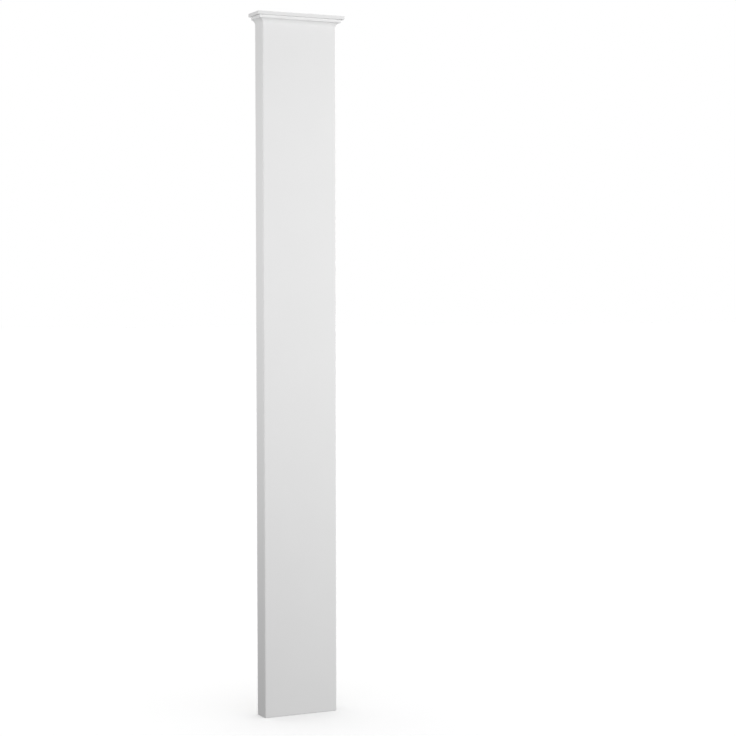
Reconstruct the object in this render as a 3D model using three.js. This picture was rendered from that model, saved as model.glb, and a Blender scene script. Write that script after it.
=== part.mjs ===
// Plain pilaster for a wall: one moulding of rigid polyurethane foam, primed white.
// A flat shaft of full height ends at the top in a small cap of fascia, fillet and cavetto, which returns
// to the wall on both sides with mitred corners. The foot is cut square and the back is flat.
// Millimetres. X runs across the front, the front faces -Y and Z is up.
// The origin is the middle of the back face, which lies against the wall.

import * as THREE from 'three';
import { toCreasedNormals } from 'three/addons/utils/BufferGeometryUtils.js';

// overall size
const height = 2000;
const shaftWidth = 225;
const shaftDepth = 55;

// cap, from the top down: how far each member stands out from the shaft, and how tall it is
const fasciaOut = 20;
const fasciaHeight = 10;
const filletOut = 12;
const filletHeight = 8.5;
const cavettoOut = 8;
const cavettoHeight = 13.5;

// softness of the edges, as the mould leaves them
const shaftArris = 5;
const capMitre = 1.2;
const fasciaEdge = 1.5;
const filletEdge = 2;

// fineness of the curves
const cavettoSteps = 10;
const arrisSteps = 6;
const edgeSteps = 2;
const creaseAngle = THREE.MathUtils.degToRad(35);

// levels of the members
const headLevel = height / 2;
const footLevel = -height / 2;
const fasciaFoot = headLevel - fasciaHeight;
const filletFoot = fasciaFoot - filletHeight;
const cavettoFoot = filletFoot - cavettoHeight;

// The profile of the front face, read upwards: x is how far it stands out from the shaft, y is the level.
// The cavetto is an arc that leaves the shaft's face without a break and ends under the fillet.
function cavettoArc() {
  const radius = (cavettoOut ** 2 + cavettoHeight ** 2) / (2 * cavettoOut);
  const turn = Math.asin(cavettoHeight / radius);
  const past = cavettoOut > cavettoHeight ? Math.PI - turn : turn;
  const arc = new THREE.EllipseCurve(radius, cavettoFoot, radius, radius, Math.PI, Math.PI - past, true);
  return arc.getPoints(cavettoSteps);
}

// A square edge of the cap, eased to a small radius, with its points in the order they are met going up.
const lowerEdge = 1;
const upperEdge = -1;
function easedEdge(out, level, side, radius) {
  const from = side > 0 ? -Math.PI / 2 : 0;
  const to = from + Math.PI / 2;
  const arc = new THREE.EllipseCurve(out - radius, level + side * radius, radius, radius, from, to);
  return arc.getPoints(edgeSteps);
}

function frontProfile() {
  return [
    new THREE.Vector2(0, footLevel),
    ...cavettoArc(),
    ...easedEdge(filletOut, filletFoot, lowerEdge, filletEdge),
    new THREE.Vector2(filletOut, fasciaFoot),
    ...easedEdge(fasciaOut, fasciaFoot, lowerEdge, fasciaEdge),
    ...easedEdge(fasciaOut, headLevel, upperEdge, fasciaEdge),
  ];
}

// The plan of the pilaster where the profile stands out by a given amount, drawn from the back left corner
// round the front to the back right one. The arris is wide on the shaft and tightens to a mitre on the cap.
function planOutline(out) {
  const half = shaftWidth / 2 + out;
  const front = -(shaftDepth + out);
  const onCap = Math.min(1, out / cavettoOut);
  const arris = THREE.MathUtils.lerp(shaftArris, capMitre, onCap);
  const turn = Math.PI / 2;
  const leftArris = new THREE.EllipseCurve(arris - half, front + arris, arris, arris, 2 * turn, 3 * turn);
  const rightArris = new THREE.EllipseCurve(half - arris, front + arris, arris, arris, 3 * turn, 4 * turn);
  return [
    new THREE.Vector2(-half, 0),
    ...leftArris.getPoints(arrisSteps),
    ...rightArris.getPoints(arrisSteps),
    new THREE.Vector2(half, 0),
  ];
}

// Fills a flat face. The corners are numbers of vertices, and flatten gives a vertex's place in the plane of
// the face, as seen from outside.
function fillFlat(vertices, corners, flatten) {
  const outline = corners.map((corner) => flatten(vertices[corner]));
  return THREE.ShapeUtils.triangulateShape(outline, []).flat().map((place) => corners[place]);
}

// Joins each plan outline to the next one up the profile, then closes the foot, the head and the back flat.
function loft(profile) {
  const rings = profile.map(({ x: out, y: level }) => (
    planOutline(out).map(({ x, y }) => new THREE.Vector3(x, y, level))
  ));
  const vertices = rings.flat();
  const around = rings[0].length;
  const faces = [];
  for (let level = 0; level < rings.length - 1; level += 1) {
    for (let i = 0; i < around - 1; i += 1) {
      const low = level * around + i;
      faces.push(low, low + 1, low + 1 + around);
      faces.push(low, low + 1 + around, low + around);
    }
  }

  const fromAbove = (vertex) => new THREE.Vector2(vertex.x, vertex.y);
  const fromBelow = (vertex) => new THREE.Vector2(-vertex.x, vertex.y);
  const fromBehind = (vertex) => new THREE.Vector2(-vertex.x, vertex.z);
  const ring = (level) => Array.from({ length: around }, (_, i) => level * around + i);
  faces.push(...fillFlat(vertices, ring(0), fromBelow));
  faces.push(...fillFlat(vertices, ring(rings.length - 1), fromAbove));

  // the back is filled in two fields, the shaft's and the cap's
  const leftBack = rings.map((_, level) => level * around);
  const rightBack = leftBack.map((corner) => corner + around - 1);
  const backField = (from, to) => [...leftBack.slice(from, to), ...rightBack.slice(from, to).reverse()];
  faces.push(...fillFlat(vertices, backField(0, 2), fromBehind));
  faces.push(...fillFlat(vertices, backField(1, rings.length), fromBehind));

  const geometry = new THREE.BufferGeometry().setFromPoints(vertices);
  geometry.setIndex(faces);
  return toCreasedNormals(geometry, creaseAngle);
}

const primedPolyurethane = new THREE.MeshStandardMaterial({ color: 0xeeeeee, roughness: 0.7, metalness: 0 });

const moulding = new THREE.Mesh(loft(frontProfile()), primedPolyurethane);
moulding.name = 'pilaster_moulding';

const pilaster = new THREE.Group();
pilaster.add(moulding);

export default pilaster;
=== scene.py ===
import math

import bmesh
import bpy
from bpy.props import FloatProperty, FloatVectorProperty, IntProperty, PointerProperty
from mathutils import Matrix, Vector


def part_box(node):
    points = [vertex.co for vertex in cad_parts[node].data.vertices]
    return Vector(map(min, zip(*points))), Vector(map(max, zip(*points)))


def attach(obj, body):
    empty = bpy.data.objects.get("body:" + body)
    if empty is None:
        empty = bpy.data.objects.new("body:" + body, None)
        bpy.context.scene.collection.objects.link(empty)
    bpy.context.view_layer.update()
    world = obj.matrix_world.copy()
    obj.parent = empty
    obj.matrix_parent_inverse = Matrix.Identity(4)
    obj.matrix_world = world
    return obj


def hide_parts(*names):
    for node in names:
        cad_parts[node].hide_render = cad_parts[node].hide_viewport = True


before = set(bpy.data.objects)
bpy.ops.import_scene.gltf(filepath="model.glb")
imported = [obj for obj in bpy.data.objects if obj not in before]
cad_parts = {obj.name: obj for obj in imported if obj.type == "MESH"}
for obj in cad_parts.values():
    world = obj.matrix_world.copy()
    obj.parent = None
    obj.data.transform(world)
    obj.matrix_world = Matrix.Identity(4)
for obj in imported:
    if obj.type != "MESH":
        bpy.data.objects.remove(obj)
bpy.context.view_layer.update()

bl_info = {
    "name": "Plain Wall Pilaster",
    "version": (1, 0, 0),
    "blender": (4, 5, 0),
    "location": "3D View > Sidebar > Pilaster",
    "description": "Finishes the pilaster moulding and stands it in a small studio",
    "category": "Object",
}

NODE = "pilaster_moulding"
PIECE = "moulding"

# the box of the whole solid, and the moulding's lowest and highest corners
LOW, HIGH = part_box(NODE)
MM = 0.001

# how far the cap stands out from the shaft all round, which the box of the solid includes
FASCIA_OUT = 20 * MM

# the level edges of a band: the arc that eases one is centred above a lower edge and below an upper one
LOWER, UPPER = 1, -1

# edges that turn by more than this are left crisp
CRISP_ANGLE = math.radians(35)

# rigid polyurethane and its primer have about the same refractive index
PLASTIC_IOR = 1.5

# where each softbox stands, and its size across and up, in metres
SOFTBOXES = {
    "key": ((2.4, -2.9, 0.68), (1.6, 1.6)),
    "side": ((-1.6, -0.4, 0.46), (1.2, 1.6)),
    "back": ((0.6, 3.2, 0.74), (1.6, 1.6)),
}

# the place in the shaft that the softboxes face
SOFTBOX_AIM = (0, 0, 0.2)

# how wide the overhead lights are, which sets how soft their shadows fall
TOP_SPREAD = math.radians(5)
FLOOR_SPREAD = math.radians(50)

# from the moulding to the floor's edges, in metres
FLOOR_REACH = 60


def linear(hex_colour):
    """An sRGB colour such as "#f0f0f0" as linear red, green, blue and alpha."""
    channels = [int(hex_colour[i:i + 2], 16) / 255 for i in (1, 3, 5)]
    return [c / 12.92 if c <= 0.04045 else ((c + 0.055) / 1.055) ** 2.4 for c in channels] + [1.0]


def add(tree, kind, inputs=None, **settings):
    """Adds a node to a tree. A socket in inputs is linked and any other value is set."""
    node = tree.nodes.new(kind)
    for name, value in settings.items():
        setattr(node, name, value)
    for socket, value in (inputs or {}).items():
        if isinstance(value, bpy.types.NodeSocket):
            tree.links.new(value, node.inputs[socket])
        else:
            node.inputs[socket].default_value = value
    return node


def length(name, description, default):
    return FloatProperty(name=name, description=description, default=default, min=0, unit="LENGTH")


def share(name, description, default):
    return FloatProperty(name=name, description=description, default=default, min=0, max=1, subtype="FACTOR")


def strength(name, description, default, **unit):
    return FloatProperty(name=name, description=description, default=default, min=0, **unit)


def angle(name, description, degrees):
    return FloatProperty(name=name, description=description, default=math.radians(degrees), unit="ROTATION")


def colour(name, description, hex_colour):
    return FloatVectorProperty(
        name=name, description=description, default=linear(hex_colour), size=4, min=0, max=1, subtype="COLOR"
    )


class PilasterSizes(bpy.types.PropertyGroup):
    """The sizes of the moulding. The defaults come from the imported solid's own box where they can."""

    height: length("Height", "From the foot to the head", HIGH.z - LOW.z)
    shaft_width: length("Shaft width", "Across the front of the shaft", HIGH.x - LOW.x - 2 * FASCIA_OUT)
    shaft_depth: length("Shaft depth", "From the wall to the front of the shaft", HIGH.y - LOW.y - FASCIA_OUT)
    fascia_out: length("Fascia projection", "How far the cap's top band stands out", FASCIA_OUT)
    fascia_height: length("Fascia height", "Height of the cap's top band", 10 * MM)
    fillet_out: length("Fillet projection", "How far the narrow band stands out", 12 * MM)
    fillet_height: length("Fillet height", "Height of the narrow band", 8.5 * MM)
    cavetto_out: length("Cavetto projection", "How far the hollow stands out at its top", 8 * MM)
    cavetto_height: length("Cavetto height", "Height of the hollow", 13.5 * MM)
    shaft_arris: length("Shaft arris", "Radius of the shaft's two front edges", 5 * MM)
    cap_mitre: length("Cap mitre", "Radius of the cap's corners", 1.2 * MM)
    fascia_edge: length("Fascia edge", "Radius of the top band's level edges", 1.5 * MM)
    fillet_edge: length("Fillet edge", "Radius of the narrow band's lower edge", 2 * MM)
    cut_edge: length("Cut edge", "Ease of the back and foot edges", 0.5 * MM)
    curve_steps: IntProperty(name="Curve steps", description="Facets in a round edge", default=12, min=3)


class PilasterFinish(bpy.types.PropertyGroup):
    """The colours and the surface of the moulding."""

    primer: colour("Primer", "Matt white primer", "#eeeeee")
    primer_thin: colour("Thin primer", "Primer where the coat is thinner", "#ebebeb")
    primer_roughness: share("Primer roughness", "Roughness of the primer", 0.7)
    foam: colour("Bare foam", "Polyurethane foam that isn't primed", "#ecebe7")
    # painted shade at the bottom of the foam's open cells, also used as the colour of the darker sanding
    # strokes
    foam_pit_shade_and_sanding: colour("Foam pit shade and sanding", "The shaded bottom of the foam's open cells", "#dfddd7")
    foam_roughness: share("Foam roughness", "Roughness of the bare foam", 0.85)


class PilasterStudio(bpy.types.PropertyGroup):
    """The floor, the lights and the camera."""

    floor: colour("Floor", "Plain pale floor", "#f4f4f4")
    ambient: strength("Ambient", "Soft light from all round", 0.23)
    lean: share("Lean", "How much more of the soft light comes from above than from below", 0.45)
    key: strength("Key light", "Softbox in front", 112, unit="POWER")
    side: strength("Side light", "Softbox on the left", 17.8, unit="POWER")
    back: strength("Back light", "Softbox behind", 84, unit="POWER")
    top: strength("Top light", "Overhead light on the moulding alone", 1.4)
    floor_light: strength("Floor light", "Overhead light on the floor alone", 2.6)
    lens: FloatProperty(name="Lens", description="Focal length", default=88.6, unit="CAMERA")
    turn: angle("Turn", "Camera's turn from the wall's normal", 25.01)
    tilt: angle("Tilt", "Camera's tilt below level", 2.31)
    roll: angle("Roll", "Camera's roll", -0.082)
    station: FloatVectorProperty(
        name="Station",
        description="Where the camera stands",
        default=(-2.009, -4.819, 0.205),
        subtype="TRANSLATION",
    )


def eased_edge(out, level, side, radius, steps):
    """A square outer edge of the cap, eased to a radius. side is LOWER or UPPER."""
    start = -math.pi / 2 if side == LOWER else 0
    turns = [start + math.pi / 2 * i / steps for i in range(steps + 1)]
    centre = (out - radius, level + side * radius)
    return [(centre[0] + radius * math.cos(turn), centre[1] + radius * math.sin(turn)) for turn in turns]


def cavetto(out, height, foot, steps):
    """The hollow under the cap: an arc that leaves the shaft's face without a break."""
    radius = (out ** 2 + height ** 2) / (2 * out)
    end = 2 * math.atan2(out, height)
    turns = [end * i / steps for i in range(steps + 1)]
    return [(radius * (1 - math.cos(turn)), foot + radius * math.sin(turn)) for turn in turns]


def front_profile(sizes):
    """The profile of the front face, read upwards, as pairs of projection from the shaft and level."""
    head = HIGH.z
    foot = head - sizes.height
    fascia_foot = head - sizes.fascia_height
    fillet_foot = fascia_foot - sizes.fillet_height
    cavetto_foot = fillet_foot - sizes.cavetto_height

    # the hollow gets more facets than a corner of the plan does, and the small edges fewer
    hollow_steps = sizes.curve_steps * 2
    edge_steps = sizes.curve_steps // 3
    return [
        (-sizes.cut_edge, foot),
        (0, foot + sizes.cut_edge),
        *cavetto(sizes.cavetto_out, sizes.cavetto_height, cavetto_foot, hollow_steps),
        *eased_edge(sizes.fillet_out, fillet_foot, LOWER, sizes.fillet_edge, edge_steps),
        (sizes.fillet_out, fascia_foot),
        *eased_edge(sizes.fascia_out, fascia_foot, LOWER, sizes.fascia_edge, edge_steps),
        *eased_edge(sizes.fascia_out, head, UPPER, sizes.fascia_edge, edge_steps),
    ]


def sweep_tree():
    """Sweeps a profile, given as a row of points, round the two sides and the front of a plan.

    A grid has one row of points for each point of the profile, and its columns run round the plan: two for
    each eased back edge and a fan for each front arris. The arris tightens as the profile comes out, so the
    shaft's soft edge runs up into the cap's crisp mitre.
    """
    tree = bpy.data.node_groups.new("Moulding swept round a plan", "GeometryNodeTree")
    face = tree.interface
    face.new_socket("Geometry", in_out="INPUT", socket_type="NodeSocketGeometry")
    for name in ("Width", "Depth", "Arris", "Mitre", "Mitred Beyond", "Cut Edge"):
        face.new_socket(name, in_out="INPUT", socket_type="NodeSocketFloat")
    face.new_socket("Arris Steps", in_out="INPUT", socket_type="NodeSocketInt")
    face.new_socket("Sharp Above", in_out="INPUT", socket_type="NodeSocketFloat")
    face.new_socket("Material", in_out="INPUT", socket_type="NodeSocketMaterial")
    face.new_socket("Geometry", in_out="OUTPUT", socket_type="NodeSocketGeometry")
    given = add(tree, "NodeGroupInput").outputs
    steps = given["Arris Steps"]

    # each side has the points of its back edge and one point more than its arris has steps
    back_points = 2.0
    counted = add(tree, "GeometryNodeAttributeDomainSize", {"Geometry": given["Geometry"]})
    rows = counted.outputs["Point Count"]
    columns = add(
        tree, "ShaderNodeMath", {0: steps, 1: 2.0, 2: 2.0 * (back_points + 1)}, operation="MULTIPLY_ADD"
    ).outputs[0]
    grid = add(tree, "GeometryNodeMeshGrid", {"Vertices X": columns, "Vertices Y": rows}).outputs["Mesh"]

    # the row and the column of each point, and the column counted from the nearer back edge
    index = add(tree, "GeometryNodeInputIndex").outputs[0]
    row = add(tree, "ShaderNodeMath", {0: index, 1: rows}, operation="MODULO").outputs[0]
    over = add(tree, "ShaderNodeMath", {0: index, 1: rows}, operation="DIVIDE").outputs[0]
    column = add(tree, "ShaderNodeMath", {0: over}, operation="FLOOR").outputs[0]
    last = add(tree, "ShaderNodeMath", {0: columns, 1: 1.0}, operation="SUBTRACT").outputs[0]
    other = add(tree, "ShaderNodeMath", {0: last, 1: column}, operation="SUBTRACT").outputs[0]
    near = add(tree, "ShaderNodeMath", {0: column, 1: other}, operation="MINIMUM").outputs[0]
    ahead = add(tree, "ShaderNodeMath", {0: column, 1: other}, operation="SUBTRACT").outputs[0]
    hand = add(tree, "ShaderNodeMath", {0: ahead}, operation="SIGN").outputs[0]

    # the projection and the level of the row, read from the profile
    place = add(tree, "GeometryNodeInputPosition").outputs[0]
    sample = add(
        tree,
        "GeometryNodeSampleIndex",
        {"Geometry": given["Geometry"], "Index": row},
        data_type="FLOAT_VECTOR",
    )
    tree.links.new(place, sample.inputs["Value"])
    profile = add(tree, "ShaderNodeSeparateXYZ", {0: sample.outputs[0]}).outputs
    out = profile["X"]
    half = add(
        tree, "ShaderNodeMath", {0: given["Width"], 1: 0.5, 2: out}, operation="MULTIPLY_ADD"
    ).outputs[0]
    depth = add(tree, "ShaderNodeMath", {0: given["Depth"], 1: out}, operation="ADD").outputs[0]
    radius = add(
        tree,
        "ShaderNodeMapRange",
        {
            "Value": out,
            "From Max": given["Mitred Beyond"],
            "To Min": given["Arris"],
            "To Max": given["Mitre"],
        },
    ).outputs[0]

    # how far round the arris the column is
    fan_end = add(tree, "ShaderNodeMath", {0: steps, 1: back_points}, operation="ADD").outputs[0]
    turn = add(
        tree,
        "ShaderNodeMapRange",
        {"Value": near, "From Min": back_points, "From Max": fan_end, "To Max": math.pi / 2},
    ).outputs[0]
    cosine = add(tree, "ShaderNodeMath", {0: turn}, operation="COSINE").outputs[0]
    sine = add(tree, "ShaderNodeMath", {0: turn}, operation="SINE").outputs[0]
    less_across = add(tree, "ShaderNodeMath", {0: 1.0, 1: cosine}, operation="SUBTRACT").outputs[0]
    less_forward = add(tree, "ShaderNodeMath", {0: 1.0, 1: sine}, operation="SUBTRACT").outputs[0]
    arris_across = add(tree, "ShaderNodeMath", {0: radius, 1: less_across}, operation="MULTIPLY").outputs[0]
    arris_forward = add(tree, "ShaderNodeMath", {0: radius, 1: less_forward}, operation="MULTIPLY").outputs[0]

    # the plan: x is mirrored about the middle, and y runs forward from the wall
    cut_edge = given["Cut Edge"]
    on_wall = add(tree, "ShaderNodeMath", {0: near, 1: 1.0}, operation="LESS_THAN").outputs[0]
    by_wall = add(tree, "ShaderNodeMath", {0: near, 1: back_points}, operation="LESS_THAN").outputs[0]
    ease = add(
        tree, "ShaderNodeMath", {0: cut_edge, 1: on_wall, 2: arris_across}, operation="MULTIPLY_ADD"
    ).outputs[0]
    across = add(tree, "ShaderNodeMath", {0: half, 1: ease}, operation="SUBTRACT").outputs[0]
    x = add(tree, "ShaderNodeMath", {0: across, 1: hand}, operation="MULTIPLY").outputs[0]
    wall_forward = add(tree, "ShaderNodeMath", {0: cut_edge, 1: near}, operation="MULTIPLY").outputs[0]
    arris_at = add(tree, "ShaderNodeMath", {0: depth, 1: arris_forward}, operation="SUBTRACT").outputs[0]
    forward = add(tree, "ShaderNodeMix", {"Factor": by_wall, 2: arris_at, 3: wall_forward}).outputs[0]
    y = add(tree, "ShaderNodeMath", {0: forward, 1: -1.0}, operation="MULTIPLY").outputs[0]
    position = add(tree, "ShaderNodeCombineXYZ", {"X": x, "Y": y, "Z": profile["Z"]}).outputs[0]
    swept = add(tree, "GeometryNodeSetPosition", {"Geometry": grid, "Position": position}).outputs[0]

    # smooth everywhere but on the edges that the mould leaves crisp
    smooth = add(tree, "GeometryNodeSetShadeSmooth", {"Geometry": swept}).outputs[0]
    bend = add(tree, "GeometryNodeInputMeshEdgeAngle").outputs["Unsigned Angle"]
    soft = add(
        tree, "FunctionNodeCompare", {0: bend, 1: given["Sharp Above"]}, operation="LESS_EQUAL"
    ).outputs[0]
    edged = add(tree, "GeometryNodeSetShadeSmooth", {"Geometry": smooth, "Shade Smooth": soft}, domain="EDGE")
    real = add(tree, "GeometryNodeRealizeInstances", {"Geometry": edged.outputs[0]}).outputs[0]
    coated = add(tree, "GeometryNodeSetMaterial", {"Geometry": real, "Material": given["Material"]})
    add(tree, "NodeGroupOutput", {"Geometry": coated.outputs[0]})
    return tree


def set_inputs(modifier, values):
    """Sets a Geometry Nodes modifier's inputs, by name, through the identifiers of its sockets."""
    for item in modifier.node_group.interface.items_tree:
        if item.in_out == "INPUT" and item.name in values:
            modifier[item.identifier] = values[item.name]


def new_material(name):
    """A new material whose node tree is still empty."""
    material = bpy.data.materials.new(name)
    material.use_nodes = True
    material.node_tree.nodes.clear()
    return material


def primer_material(finish):
    """Rigid polyurethane cast in a closed mould and sprayed with a matt white primer.

    The coat gives an even, chalky white with no clear highlight. A fine stipple from the spray breaks up what
    sheen there is, and the coat is a touch thinner in places, which shows as a very faint change of tone.
    """
    material = new_material("Polyurethane, moulded and primed matt white")
    tree = material.node_tree
    at = add(tree, "ShaderNodeTexCoord").outputs["Object"]

    # the coat's thickness changes over about 120 mm
    coat_mm = 120
    coat = add(tree, "ShaderNodeTexNoise", {"Vector": at, "Scale": 1 / (coat_mm * MM), "Detail": 3.0})
    tone = add(
        tree,
        "ShaderNodeMix",
        {"Factor": coat.outputs["Fac"], 6: finish.primer_thin, 7: finish.primer},
        data_type="RGBA",
    ).outputs[2]

    # spray stipple is about 0.6 mm across, drawn at 2 mm so that it shows
    stipple_mm = 2
    stipple_relief = 0.05 * MM
    sheen_change = 0.05
    dullest = finish.primer_roughness + sheen_change
    least_dull = finish.primer_roughness - sheen_change
    noise = add(tree, "ShaderNodeTexNoise", {"Vector": at, "Scale": 1 / (stipple_mm * MM), "Detail": 4.0})
    stipple = noise.outputs["Fac"]
    dull = add(
        tree, "ShaderNodeMapRange", {"Value": stipple, "To Min": least_dull, "To Max": dullest}
    ).outputs[0]
    relief = add(
        tree, "ShaderNodeBump", {"Height": stipple, "Strength": 0.35, "Distance": stipple_relief}
    ).outputs[0]

    shader = add(
        tree,
        "ShaderNodeBsdfPrincipled",
        {"Base Color": tone, "Roughness": dull, "Normal": relief, "IOR": PLASTIC_IOR, "Metallic": 0.0},
    ).outputs[0]
    add(tree, "ShaderNodeOutputMaterial", {"Surface": shader})
    return material


def foam_material(finish):
    """Rigid polyurethane foam, cut and sanded flat, with no primer.

    The cut opens the foam's fine closed cells, so the surface is a soft, faintly warm white that is fully
    matt, with a tight grain of tiny pits whose shade is painted darker into the colour. The sanding runs
    along the length and leaves faint strokes.
    """
    material = new_material("Polyurethane foam, sanded flat")
    tree = material.node_tree
    at = add(tree, "ShaderNodeTexCoord").outputs["Object"]

    # cells are about 0.3 mm across, drawn at 2.5 mm so that they show
    cell_mm = 2.5
    cell_relief = 0.1 * MM
    cells = add(tree, "ShaderNodeTexVoronoi", {"Vector": at, "Scale": 1 / (cell_mm * MM)})
    # painted shade: the foam's colour darkens towards the middle of each pit, which also sets the pit's
    # relief
    pits = add(
        tree, "ShaderNodeMapRange", {"Value": cells.outputs["Distance"], "From Min": 0.1, "From Max": 0.5}
    ).outputs[0]

    # a scratch of the sanding is too fine to show, so a band of them is drawn 9 mm wide and 120 mm long
    stroke_mm = (9, 9, 120)
    least_worn = 0.45
    along = add(
        tree, "ShaderNodeMapping", {"Vector": at, "Scale": [1 / (side * MM) for side in stroke_mm]}
    ).outputs[0]
    strokes = add(tree, "ShaderNodeTexNoise", {"Vector": along, "Scale": 1.0, "Detail": 3.0}).outputs["Fac"]
    worn = add(
        tree, "ShaderNodeMapRange", {"Value": strokes, "From Min": 0.3, "From Max": 0.7, "To Min": least_worn}
    ).outputs[0]
    # the painted shade in the pits and the real sanding strokes together pull the foam towards its darker
    # colour
    shade = add(tree, "ShaderNodeMath", {0: pits, 1: worn}, operation="MULTIPLY").outputs[0]
    tone = add(
        tree, "ShaderNodeMix", {"Factor": shade, 6: finish.foam_pit_shade_and_sanding, 7: finish.foam}, data_type="RGBA"
    ).outputs[2]
    relief = add(
        tree, "ShaderNodeBump", {"Height": pits, "Strength": 0.4, "Distance": cell_relief}
    ).outputs[0]

    shader = add(
        tree,
        "ShaderNodeBsdfPrincipled",
        {
            "Base Color": tone,
            "Roughness": finish.foam_roughness,
            "Normal": relief,
            "IOR": PLASTIC_IOR,
            "Metallic": 0.0,
        },
    ).outputs[0]
    add(tree, "ShaderNodeOutputMaterial", {"Surface": shader})
    return material


def floor_material(studio):
    """A floor rolled with matt paint: pale and even, with no sheen, so it mirrors nothing."""
    material = new_material("Floor, painted matt")
    tree = material.node_tree
    shader = add(
        tree,
        "ShaderNodeBsdfPrincipled",
        {"Base Color": studio.floor, "Roughness": 0.9, "Specular IOR Level": 0.0},
    ).outputs[0]
    add(tree, "ShaderNodeOutputMaterial", {"Surface": shader})
    return material


def close_flat(mesh, primer, foam):
    """Closes the swept faces with a flat head, foot and back. The foot and the back are bare foam."""
    mesh.materials.clear()
    mesh.materials.append(primer)
    mesh.materials.append(foam)
    primed, bare = range(2)
    shape = bmesh.new()
    shape.from_mesh(mesh)
    rim = [edge for edge in shape.edges if edge.is_boundary]
    levels = [vert.co.z for vert in shape.verts]
    tiny = 1e-6

    def close_end(level):
        """Fills the end of the sweep at a level and returns its new faces."""
        edges = [edge for edge in rim if all(abs(vert.co.z - level) < tiny for vert in edge.verts)]
        ends = [vert for edge in edges for vert in edge.verts if len({*vert.link_edges} & {*edges}) == 1]
        closing = shape.edges.new(sorted(ends, key=lambda vert: vert.co.x))
        return bmesh.ops.contextual_create(shape, geom=[*edges, closing])["faces"]

    close_end(max(levels))
    foot = close_end(min(levels))
    wall_rim = [edge for edge in shape.edges if edge.is_boundary]
    back = bmesh.ops.contextual_create(shape, geom=wall_rim)["faces"]
    for face in shape.faces:
        face.material_index = primed
    for face in [*foot, *back]:
        face.material_index = bare
    for edge in wall_rim:
        edge.smooth = False
    bmesh.ops.recalc_face_normals(shape, faces=shape.faces)
    shape.to_mesh(mesh)
    shape.free()


def plain_mesh(source, name):
    """The evaluated shape of an object, as a new object with a plain mesh and no modifiers."""
    graph = bpy.context.evaluated_depsgraph_get()
    mesh = bpy.data.meshes.new_from_object(source.evaluated_get(graph), depsgraph=graph)
    mesh.name = name
    bpy.data.objects.remove(source)
    made = bpy.data.objects.new(name, mesh)
    bpy.context.collection.objects.link(made)
    return made


class PILASTER_OT_moulding(bpy.types.Operator):
    """Makes the moulding: the shaft and its cap in one piece"""

    bl_idname = "pilaster.moulding"
    bl_label = "Moulding"

    def execute(self, context):
        sizes = context.scene.pilaster_sizes
        finish = context.scene.pilaster_finish
        primer = primer_material(finish)
        foam = foam_material(finish)

        mesh = bpy.data.meshes.new("profile")
        mesh.from_pydata([(out, 0, level) for out, level in front_profile(sizes)], [], [])
        profile = bpy.data.objects.new("profile", mesh)
        context.collection.objects.link(profile)
        sweep = profile.modifiers.new("Sweep", "NODES")
        sweep.node_group = sweep_tree()
        set_inputs(
            sweep,
            {
                "Width": sizes.shaft_width,
                "Depth": sizes.shaft_depth,
                "Arris": sizes.shaft_arris,
                "Mitre": sizes.cap_mitre,
                "Mitred Beyond": sizes.cavetto_out,
                "Cut Edge": sizes.cut_edge,
                "Arris Steps": sizes.curve_steps,
                "Sharp Above": CRISP_ANGLE,
                "Material": primer,
            },
        )
        shell = plain_mesh(profile, "shell")
        close_flat(shell.data, primer, foam)

        weighted = shell.modifiers.new("Even normals", "WEIGHTED_NORMAL")
        weighted.keep_sharp = True
        piece = plain_mesh(shell, PIECE)
        if not piece.data.polygons:
            raise RuntimeError("the moulding came out empty")
        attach(piece, "root")
        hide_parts(NODE)
        return {"FINISHED"}


def softbox(name, power, place, size):
    """A soft rectangular light that faces the shaft and that the camera doesn't see."""
    light = bpy.data.lights.new(name, "AREA")
    light.shape = "RECTANGLE"
    light.size, light.size_y = size
    light.energy = power
    lamp = bpy.data.objects.new(name, light)
    lamp.location = place
    facing = Vector(SOFTBOX_AIM) - Vector(place)
    lamp.rotation_euler = facing.to_track_quat("-Z", "Y").to_euler()
    lamp.visible_camera = False
    bpy.context.collection.objects.link(lamp)
    return lamp


def overhead(name, power, spread):
    """A distant light straight above. The wider its spread, the softer its shadows."""
    light = bpy.data.lights.new(name, "SUN")
    light.energy = power
    light.angle = spread
    lamp = bpy.data.objects.new(name, light)
    bpy.context.collection.objects.link(lamp)
    return lamp


def light_alone(lamps, thing):
    """Lets the lamps light one thing and nothing else."""
    lit = bpy.data.collections.new(f"Lights on the {thing.name}")
    lit.objects.link(thing)
    for lamp in lamps:
        lamp.light_linking.receiver_collection = lit


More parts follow.
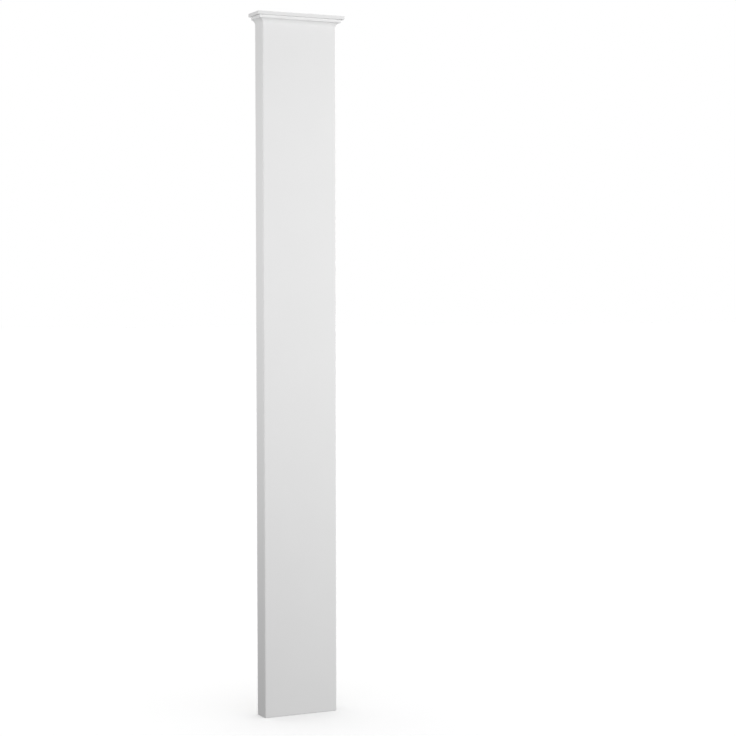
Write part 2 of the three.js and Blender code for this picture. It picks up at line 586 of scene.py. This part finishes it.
class PILASTER_OT_studio(bpy.types.Operator):
    """Makes the floor, the lights and the camera"""

    bl_idname = "pilaster.studio"
    bl_label = "Studio"

    def execute(self, context):
        studio = context.scene.pilaster_studio
        self.surroundings(context, studio)
        lamps = [
            softbox(name.capitalize(), getattr(studio, name), place, size)
            for name, (place, size) in SOFTBOXES.items()
        ]
        lamps.append(overhead("Top", studio.top, TOP_SPREAD))
        light_alone(lamps, bpy.data.objects[PIECE])
        # a broad light on the floor alone keeps it pale, with a soft shadow at the foot
        broad = overhead("Floor light", studio.floor_light, FLOOR_SPREAD)
        light_alone([broad], self.floor(context, studio))
        self.camera(context, studio)
        return {"FINISHED"}

    def floor(self, context, studio):
        """A wide floor at the foot of the moulding that throws no light back on it."""
        mesh = bpy.data.meshes.new("floor")
        signs = ((-1, -1), (1, -1), (1, 1), (-1, 1))
        corners = [(x * FLOOR_REACH, y * FLOOR_REACH, LOW.z) for x, y in signs]
        mesh.from_pydata(corners, [], [(0, 1, 2, 3)])
        mesh.materials.append(floor_material(studio))
        floor = bpy.data.objects.new("floor", mesh)
        context.collection.objects.link(floor)
        floor.visible_diffuse = False
        floor.visible_glossy = False
        return floor

    def surroundings(self, context, studio):
        """Soft light that is stronger from above, with plain white behind the object."""
        world = bpy.data.worlds.new("Studio")
        context.scene.world = world
        world.use_nodes = True
        tree = world.node_tree
        tree.nodes.clear()
        seen = add(tree, "ShaderNodeLightPath").outputs["Is Camera Ray"]
        way = add(tree, "ShaderNodeTexCoord").outputs["Generated"]
        height = add(tree, "ShaderNodeSeparateXYZ", {0: way}).outputs["Z"]
        least, most = studio.ambient * (1 - studio.lean), studio.ambient * (1 + studio.lean)
        soft = add(
            tree, "ShaderNodeMapRange", {"Value": height, "From Min": -1.0, "To Min": least, "To Max": most}
        ).outputs[0]
        glow = add(tree, "ShaderNodeMix", {"Factor": seen, 2: soft, 3: 1.0}).outputs[0]
        light = add(tree, "ShaderNodeBackground", {"Color": (1, 1, 1, 1), "Strength": glow}).outputs[0]
        add(tree, "ShaderNodeOutputWorld", {"Surface": light})

    def camera(self, context, studio):
        """The camera, turned from the wall's normal, tilted down and rolled by small angles."""
        camera = bpy.data.cameras.new("Camera")
        camera.lens = studio.lens
        holder = bpy.data.objects.new("Camera", camera)
        holder.location = studio.station
        turn = Matrix.Rotation(-studio.turn, 3, "Z")
        tilt = Matrix.Rotation(math.pi / 2 - studio.tilt, 3, "X")
        roll = Matrix.Rotation(studio.roll, 3, "Z")
        holder.rotation_euler = (turn @ tilt @ roll).to_euler()
        context.collection.objects.link(holder)
        context.scene.camera = holder
        # colours are shown as they are, with no film look
        context.scene.view_settings.view_transform = "Standard"


class PILASTER_PT_panel(bpy.types.Panel):
    """Lists the pieces, the sizes, the finish and the studio"""

    bl_label = "Pilaster"
    bl_space_type = "VIEW_3D"
    bl_region_type = "UI"
    bl_category = "Pilaster"

    def draw(self, context):
        for kind in OPERATORS:
            self.layout.operator(kind.bl_idname)
        for name in GROUPS:
            group = getattr(context.scene, name)
            box = self.layout.box()
            for field in group.__annotations__:
                box.prop(group, field)


GROUPS = {
    "pilaster_sizes": PilasterSizes,
    "pilaster_finish": PilasterFinish,
    "pilaster_studio": PilasterStudio,
}
OPERATORS = (PILASTER_OT_moulding, PILASTER_OT_studio)


def register():
    for kind in (*GROUPS.values(), *OPERATORS, PILASTER_PT_panel):
        bpy.utils.register_class(kind)
    for name, kind in GROUPS.items():
        setattr(bpy.types.Scene, name, PointerProperty(type=kind))


def unregister():
    for name in GROUPS:
        delattr(bpy.types.Scene, name)
    for kind in reversed((*GROUPS.values(), *OPERATORS, PILASTER_PT_panel)):
        bpy.utils.unregister_class(kind)


def main():
    register()
    bpy.ops.pilaster.moulding()
    bpy.ops.pilaster.studio()


if __name__ == "__main__":
    main()
